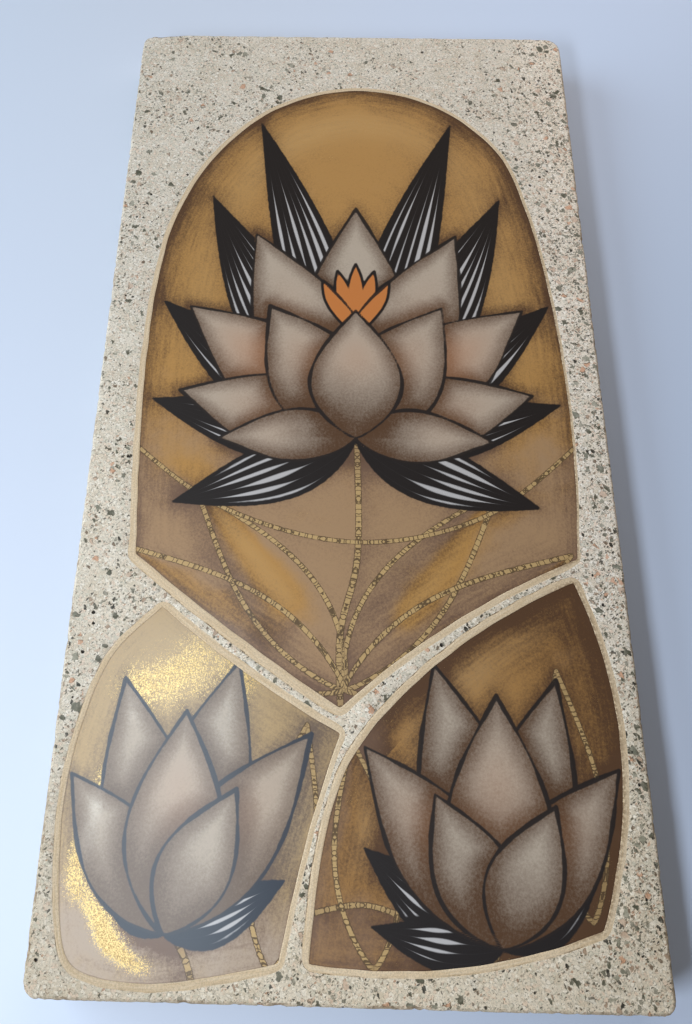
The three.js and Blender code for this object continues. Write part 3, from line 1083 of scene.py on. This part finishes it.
def crackle_group():
    """A crackled gold line: a strip between two dark edges, broken across by cracks along its own run."""
    b, given, out = group("crackled line", {"Strip": "Vector"}, {"Gold": "Float", "Crack": "Float"})
    across, run, half = b.parts(given["Strip"])
    at = b.join(run, across)
    past = across + (b.noise(at, 1.3, 3.0) * 0.8 - 0.4) - half
    gold = b.step(past, -0.2, 0.2, 1.0, 0.0)
    rail = b.step(b.math("ABSOLUTE", past), 0.06, 0.3, 1.0, 0.0)
    rail = rail * b.step(b.noise(at, 0.5), 0.3, 0.5, 0.35, 1.0)
    cracks = b.step(b.cell_edge(b.join(run / 2.4, across / 5.0), 1.0), 0.03, 0.09, 1.0, 0.0) * gold
    b.feed(out["Gold"], gold)
    b.feed(out["Crack"], b.math("MAXIMUM", rail, cracks))
    return b.tree


def leaf_strokes(b, dark, stripe, reach):
    """Pale strokes along a dark leaf: each begins, ends and swells by chance, and stays inside the edge."""
    number = b.math("FLOOR", stripe)
    noise = b.out("ShaderNodeTexWhiteNoise", {"W": number}, "Color", noise_dimensions="1D")
    begin, end, swell = b.parts(noise)
    taper = b.step(reach - (begin * 0.25 + 0.22), 0.0, 0.22) * b.step(end * 0.2 + 0.72 - reach, 0.0, 0.25)
    off = b.math("ABSOLUTE", b.math("FRACT", stripe) - 0.5) * 2.0
    thick = taper * (swell * 0.35 + 0.3)
    return b.step(off - thick, -0.3, 0.05, 1.0, 0.0) * b.step(dark, -2.4, -1.3, 1.0, 0.0)


def picture_group():
    """The paint on a tile: ground, gold lines, leaf gold, dark leaves, pale petals, orange and ink.

    Each is laid over the last where its field of distances says, with edges that a noise makes waver.
    """
    b, given, out = group(
        "painted picture", dict.fromkeys(PAINTS, "Color"),
        {"Colour": "Color", "Roughness": "Float", "Metallic": "Float", "Height": "Float"})
    at = b.millimetres()
    shade, glow, leaf = b.parts(b.paint("ground_paint"))
    dark, stripe, reach = b.parts(b.paint("dark_paint"))
    pale, tone, blush = b.parts(b.paint("pale_paint"))
    accent, border, body = b.parts(b.paint("accent_paint"))
    spray = b.noise(at, 0.9, 5.0, 0.8)
    grain = b.step(spray, 0.28, 0.72) - 0.5
    cloud = b.noise(at, 0.06, 4.0, 0.6) - 0.5
    wobble = (b.noise(at, 0.35) - 0.5) * 0.9

    # Ground: ochre to dun, lit along its folds, under airbrushed shade
    x, _, z = b.parts(b.vector("SCALE", at, 0.05))
    brush = b.noise(b.join(border * 0.55, x, z), 1.0, 3.0, 0.6) - 0.5
    brush = brush * b.step(border, 0.0, 45.0, 0.8, 0.2)
    depth = shade + brush + (grain * 0.42 + cloud * 0.5) + b.step(pale, 0.0, 9.0, 0.35, 0.0)
    low = b.step(glow + cloud, 0.0, -0.8)
    lit = b.blend(1.0, given["Ochre"], (1.2, 1.36, 1.8), "MULTIPLY")
    glowing = b.math("MULTIPLY", glow, b.step(grain, -0.4, 0.4, 0.4, 0.95), clamp=True)
    ground = b.blend(glowing, b.blend(low, given["Ochre"], given["Dun"]), lit)
    colour = b.blend(b.step(depth, 0.0, 1.0), ground, b.blend(low, given["Umber"], given["Mauve"]))

    # Crackled gold lines and rubbed leaf gold
    crackle, gilt = crackle_group(), 0.0
    for field in ("band_paint", "cross_paint"):
        line = b.use(crackle, Strip=b.paint(field))
        colour = b.blend(line["Gold"] * b.step(depth, 1.3, 0.3, 0.55, 0.95), colour, given["Gold"])
        colour = b.blend(line["Crack"] * 0.85, colour, CRACK_DARK)
        gilt = b.math("MAXIMUM", gilt, line["Gold"])
    fleck = b.noise(at, 2.4, 3.0, 0.7)
    leaf = b.step(leaf + ((fleck - 0.5) * 2.2 + cloud * 0.8), 0.42, 0.66)
    colour = b.blend(leaf, colour, b.blend(b.step(fleck, 0.4, 0.6), *LEAF_GOLD))

    # Dark leaves with pale strokes
    dark = dark + wobble
    colour = b.blend(b.step(dark, 0.1, 0.75, 1.0, 0.0), colour, given["Ink"])
    colour = b.blend(leaf_strokes(b, dark, stripe, reach) * 0.9, colour, STROKE_PALE)

    # Pale petals, orange drops and ink outlines
    edge = pale + wobble * 0.6
    light = tone * b.step(pale * -1.0, 0.0, 11.0, 0.38, 1.0) + grain * 0.26 + cloud * 0.3
    half_light = b.blend(1.0, given["Pale"], (0.62, 0.58, 0.56), "MULTIPLY")
    flesh = b.blend(b.step(light, 0.02, 0.62), given["Umber"], half_light)
    flesh = b.blend(b.step(light, 0.45, 1.0), flesh, given["Pale"])
    flesh = b.blend(blush * 0.6, flesh, PETAL_BLUSH)
    colour = b.blend(b.step(edge, -0.1, 0.4, 1.0, 0.0), colour, flesh)
    drop = accent + wobble * 0.4
    colour = b.blend(b.step(drop, 0.6, 1.3, 1.0, 0.0), colour, given["Ink"])
    colour = b.blend(b.step(drop, -0.9, -0.3, 1.0, 0.0), colour, given["Accent"])
    weight = b.step(b.noise(at, 0.045, 1.0), 0.3, 0.7, 0.5, 1.15)
    line = b.step(b.math("ABSOLUTE", edge) - weight, -0.3, 0.25, 1.0, 0.0)
    colour = b.blend(line * 0.95, colour, given["Ink"])

    # Contact shade beside the rim, and the bare body round the edge
    shaded = b.blend(1.0, colour, (0.5, 0.42, 0.36), "MULTIPLY")
    colour = b.blend(b.step(border, 0.05, 0.5, 0.55, 0.0), colour, shaded)
    b.feed(out["Colour"], b.blend(body, colour, TILE_BODY))
    b.feed(out["Roughness"], b.level(leaf, 0.45, 0.3) + grain * 0.06)
    b.feed(out["Metallic"], leaf * 0.75)
    b.feed(out["Height"], spray + gilt * 0.3)
    return b.tree


def painted_finish(name, tree, settings):
    """Glazed paint on a tile: the picture under a clear coat."""
    material, b = new_material(name.replace("_", " ") + " paint")
    paints = {paint: tuple(getattr(settings, paint.lower())) for paint in PAINTS}
    picture = b.use(tree, **{**paints, **TILE_PAINTS[name]})
    bump = {"Strength": 0.12, "Distance": 0.0001, "Height": picture["Height"]}
    b.surface("ShaderNodeBsdfPrincipled", {
        "Base Color": picture["Colour"],
        "Roughness": picture["Roughness"],
        "Metallic": picture["Metallic"],
        "Coat Weight": 0.85,
        "Coat Roughness": 0.17,
        "Normal": b.out("ShaderNodeBump", bump),
    })
    return material


def wall_finish(colour):
    """A plain pale wall, painted a little bluer to the right for the bluer light there, and see-through from
    behind.
    """
    material, b = new_material("pale wall")
    across = b.step(b.parts(b.metres())[0], -0.15, 0.2)
    # Painted light: the wall's colour turns bluer towards the right
    left, right = (np.array(tuple(colour)) * tint for tint in ((1.02, 0.99, 0.98), (0.97, 1.0, 1.07)))
    b.surface("ShaderNodeMixShader", {
        0: b.out("ShaderNodeNewGeometry", output="Backfacing"),
        1: b.out("ShaderNodeBsdfDiffuse", {"Color": b.blend(across, left, right)}),
        2: b.out("ShaderNodeBsdfTransparent"),
    })
    return material


# Operators


class PLAQUE_OT_slab(bpy.types.Operator):
    """Make the terrazzo slab with its rims, air holes and worn edges"""

    bl_idname = "plaque.slab"
    bl_label = "Terrazzo slab"

    def execute(self, context):
        settings = context.scene.plaque_slab
        lap = context.scene.plaque_tiles.lap / MM
        shell = Shell(("bare", "stain", "pit", "from_tile"))
        outer = slab_edge(shell, settings)
        rims = [slab_rim(shell, name, lap, 40 + 7 * k) for k, name in enumerate(PICTURES)]
        slab_face(shell, outer, rims, settings)
        slab = shell.object("slab", terrazzo_finish(settings))
        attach(slab, "root")
        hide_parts("terrazzo_slab")
        return {"FINISHED"}


class PLAQUE_OT_tiles(bpy.types.Operator):
    """Make the three painted tiles"""

    bl_idname = "plaque.tiles"
    bl_label = "Painted tiles"

    def execute(self, context):
        settings = context.scene.plaque_tiles
        tree = picture_group()
        for name in PICTURES:
            spacing = settings.upper_spacing if name == "upper_tile" else settings.lower_spacing
            piece = tile_object(name, settings.lap / MM, spacing / MM, painted_finish(name, tree, settings))
            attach(piece, "root")
            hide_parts(name)
        return {"FINISHED"}


def stage_sheet(name, corners, finish):
    """A flat sheet of the stage, which throws no shadow and no light on the plaque."""
    mesh = bpy.data.meshes.new(name)
    mesh.from_pydata(corners, [], [(0, 1, 2, 3)])
    mesh.materials.append(finish)
    sheet = bpy.data.objects.new(name, mesh)
    bpy.context.scene.collection.objects.link(sheet)
    sheet.visible_shadow = False
    sheet.visible_diffuse = False


def area_light(name, power, where, aim, size, colour):
    """An oblong light turned towards its aim. The window and the softbox alone show in the glaze."""
    data = bpy.data.lights.new(name, "AREA")
    data.shape = "RECTANGLE"
    data.size, data.size_y = size
    data.energy, data.color = power, colour
    light = bpy.data.objects.new(name, data)
    light.location = where
    light.rotation_euler = (Vector(aim) - Vector(where)).to_track_quat("-Z", "Y").to_euler()
    light.visible_camera = False
    light.visible_glossy = name in ("window", "softbox")
    light.visible_diffuse = name != "softbox"
    bpy.context.scene.collection.objects.link(light)


class PLAQUE_OT_stage(bpy.types.Operator):
    """Make the wall, the floor, the lights and the camera"""

    bl_idname = "plaque.stage"
    bl_label = "Wall, lights and camera"

    def execute(self, context):
        scene, settings = context.scene, context.scene.plaque_stage
        finish = wall_finish(settings.wall_colour)
        reach, low, high, gap = 2.0, -0.9, 1.6, 0.0015
        wall = [(-reach, gap, low), (reach, gap, low), (reach, gap, high), (-reach, gap, high)]
        floor = [(-reach, -reach, low), (reach, -reach, low), (reach, reach, low), (-reach, reach, low)]
        stage_sheet("wall", wall, finish)
        stage_sheet("floor", floor, finish)
        for name, power, where, aim, size, colour in (
            ("lamp", settings.key_power, (-0.30, -0.45, -0.36), (0, 0, -0.1), (0.09, 0.25), (0.92, 0.96, 1)),
            ("window", settings.window_power, (-1.1, -0.42, 0.35), (0, 0, 0), (0.7, 1), (0.80, 0.925, 1)),
            ("softbox", settings.front_power, *SOFTBOX_PLACE, (0.4, 0.77), (0.78, 0.9, 1)),
            ("fill", settings.fill_power, (0.15, -0.35, 0.4), (0, 0, -0.1), (0.6, 0.4), (1, 0.89, 0.81)),
            ("back", settings.back_power, (0.5, 1.4, 0.6), (0, 0, 0), (1.2, 1.2), (1, 1, 1)),
        ):
            area_light(name, power, where, aim, size, colour)
        world = bpy.data.worlds.new("room")
        world.use_nodes = True
        background = world.node_tree.nodes["Background"].inputs
        background["Color"].default_value = (*settings.room_colour, 1.0)
        background["Strength"].default_value = settings.room_strength
        scene.world = world
        scene.view_settings.view_transform = "Standard"
        data = bpy.data.cameras.new("camera")
        data.sensor_width, data.lens, data.clip_start = 36.0, settings.lens, 0.01
        data.shift_x = (PICTURE_WIDTH / 2 - LENS_COLUMN) / PICTURE_HEIGHT
        camera = bpy.data.objects.new("camera", data)
        turn = Matrix(CAMERA_AXES).transposed().to_4x4()
        camera.matrix_world = Matrix.Translation(CAMERA_PLACE) @ turn
        scene.collection.objects.link(camera)
        scene.camera = camera
        return {"FINISHED"}


SETTINGS = {"plaque_slab": SlabSettings, "plaque_tiles": TileSettings, "plaque_stage": StageSettings}


class PLAQUE_PT_panel(bpy.types.Panel):
    """The plaque's settings and its makers"""

    bl_idname = "PLAQUE_PT_panel"
    bl_label = "Terrazzo wall plaque"
    bl_space_type = "VIEW_3D"
    bl_region_type = "UI"
    bl_category = "Plaque"

    def draw(self, context):
        for holder in SETTINGS:
            box = self.layout.box()
            settings = getattr(context.scene, holder)
            for name in settings.__annotations__:
                box.prop(settings, name)
            box.operator(holder.replace("_", "."))


CLASSES = (*SETTINGS.values(), PLAQUE_OT_slab, PLAQUE_OT_tiles, PLAQUE_OT_stage, PLAQUE_PT_panel)


def register():
    for kind in CLASSES:
        bpy.utils.register_class(kind)
    for holder, kind in SETTINGS.items():
        setattr(bpy.types.Scene, holder, bpy.props.PointerProperty(type=kind))


def unregister():
    for holder in SETTINGS:
        delattr(bpy.types.Scene, holder)
    for kind in reversed(CLASSES):
        bpy.utils.unregister_class(kind)


def main():
    register()
    bpy.ops.plaque.slab()
    bpy.ops.plaque.tiles()
    bpy.ops.plaque.stage()


if __name__ == "__main__":
    main()
